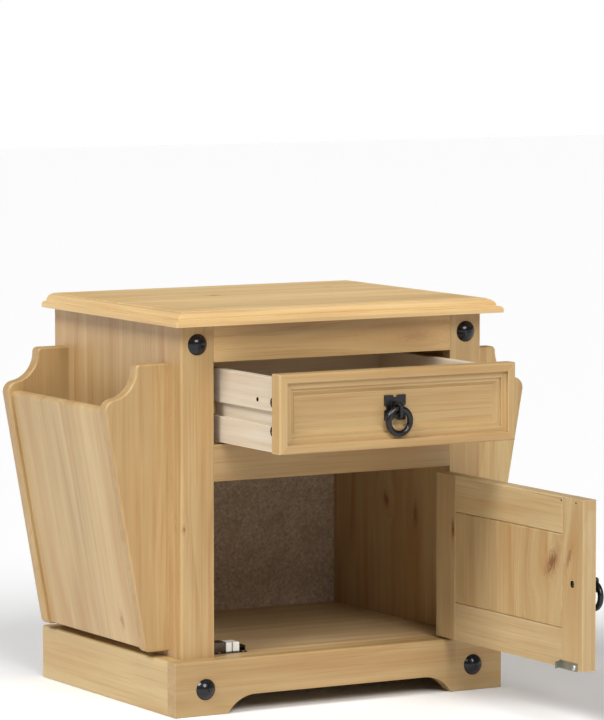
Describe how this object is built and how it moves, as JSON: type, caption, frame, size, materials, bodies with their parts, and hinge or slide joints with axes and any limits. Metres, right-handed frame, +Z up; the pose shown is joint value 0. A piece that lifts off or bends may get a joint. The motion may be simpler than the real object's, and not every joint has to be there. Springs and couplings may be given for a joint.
{
  "type": "bedside cabinet",
  "caption": "Pine bedside cabinet with a framed drawer, a panelled door below on butt hinges, black ring pulls and a slanted magazine rack on each side.",
  "frame": {"origin": "on the floor, in the middle of the plinth's footprint", "axes": "+X to the viewer's right, +Y to the back, +Z up"},
  "size_m": [0.607, 0.6825, 0.5],
  "materials": {
    "pine": "waxed honey pine, satin",
    "hardboard": "rough brown hardboard, matt",
    "pale_wood": "pale sanded wood, matt",
    "drawer_bottom_board": "thin board, matt",
    "black_iron_studs": "black, satin",
    "black_iron": "black, rough",
    "zinc_steel": "zinc plated",
    "hinge_brass": "satin",
    "dark_steel": "dark, satin",
    "nylon": "white, matt",
    "strike_steel": "dull plated"
  },
  "bodies": {
    "cabinet": {"top_panel": "pine", "top_edging_front": "pine", "top_edging_left": "pine", "top_edging_right": "pine", "left_side_panel": "pine", "right_side_panel": "pine", "left_stile": "pine", "right_stile": "pine", "top_rail": "pine", "middle_rail": "pine", "bottom_rail": "pine", "rear_top_rail": "pine", "back_panel": "hardboard", "compartment_floor": "pine", "top_battens": "pine", "left_drawer_runner": "pine", "right_drawer_runner": "pine", "plinth_front": "pine", "plinth_left": "pine", "plinth_right": "pine", "plinth_back": "pine", "front_studs": "black_iron_studs", "left_rack_front_cheek": "pine", "left_rack_back_cheek": "pine", "left_rack_panel": "pine", "left_rack_floor": "pine", "right_rack_front_cheek": "pine", "right_rack_back_cheek": "pine", "right_rack_panel": "pine", "right_rack_floor": "pine", "hinge_frame_leaves": "hinge_brass", "hinge_pins": "hinge_brass", "catch_clip": "dark_steel", "catch_block": "nylon"},
    "drawer": {"drawer_field": "pine", "drawer_frame_top": "pine", "drawer_frame_bottom": "pine", "drawer_frame_left": "pine", "drawer_frame_right": "pine", "drawer_left_side": "pale_wood", "drawer_right_side": "pale_wood", "drawer_back": "pale_wood", "drawer_bottom": "drawer_bottom_board", "drawer_cams": "zinc_steel", "drawer_pull_plate": "black_iron", "drawer_pull_bolt": "zinc_steel"},
    "drawer_ring": {"drawer_pull_ring": "black_iron"},
    "door": {"door_hinge_stile": "pine", "door_free_stile": "pine", "door_top_rail": "pine", "door_bottom_rail": "pine", "door_panel": "pine", "door_panel_moulding": "pine", "door_strike": "strike_steel", "door_pull_plate": "black_iron", "door_pull_bolt": "zinc_steel", "hinge_door_leaves": "hinge_brass"},
    "door_ring": {"door_pull_ring": "black_iron"}
  },
  "joints": [
    {"name": "drawer_slide", "type": "slide", "parent": "cabinet", "child": "drawer", "axis": [0, -1, 0], "range_m": [-0.16, 0.06]},
    {"name": "door_hinge", "type": "hinge", "parent": "cabinet", "child": "door", "pos_m": [0.17, -0.1625, 0.17575], "axis": [0, 0, 1], "range_deg": [-90, 75]},
    {"name": "drawer_ring_swing", "type": "hinge", "parent": "drawer", "child": "drawer_ring", "pos_m": [0, -0.3214, 0.3835], "axis": [-1, 0, 0], "range_deg": [0, 150]},
    {"name": "door_ring_swing", "type": "hinge", "parent": "door", "child": "door_ring", "pos_m": [0.1815, -0.478, 0.17525], "axis": [0, -1, 0], "range_deg": [0, 150]}
  ]
}
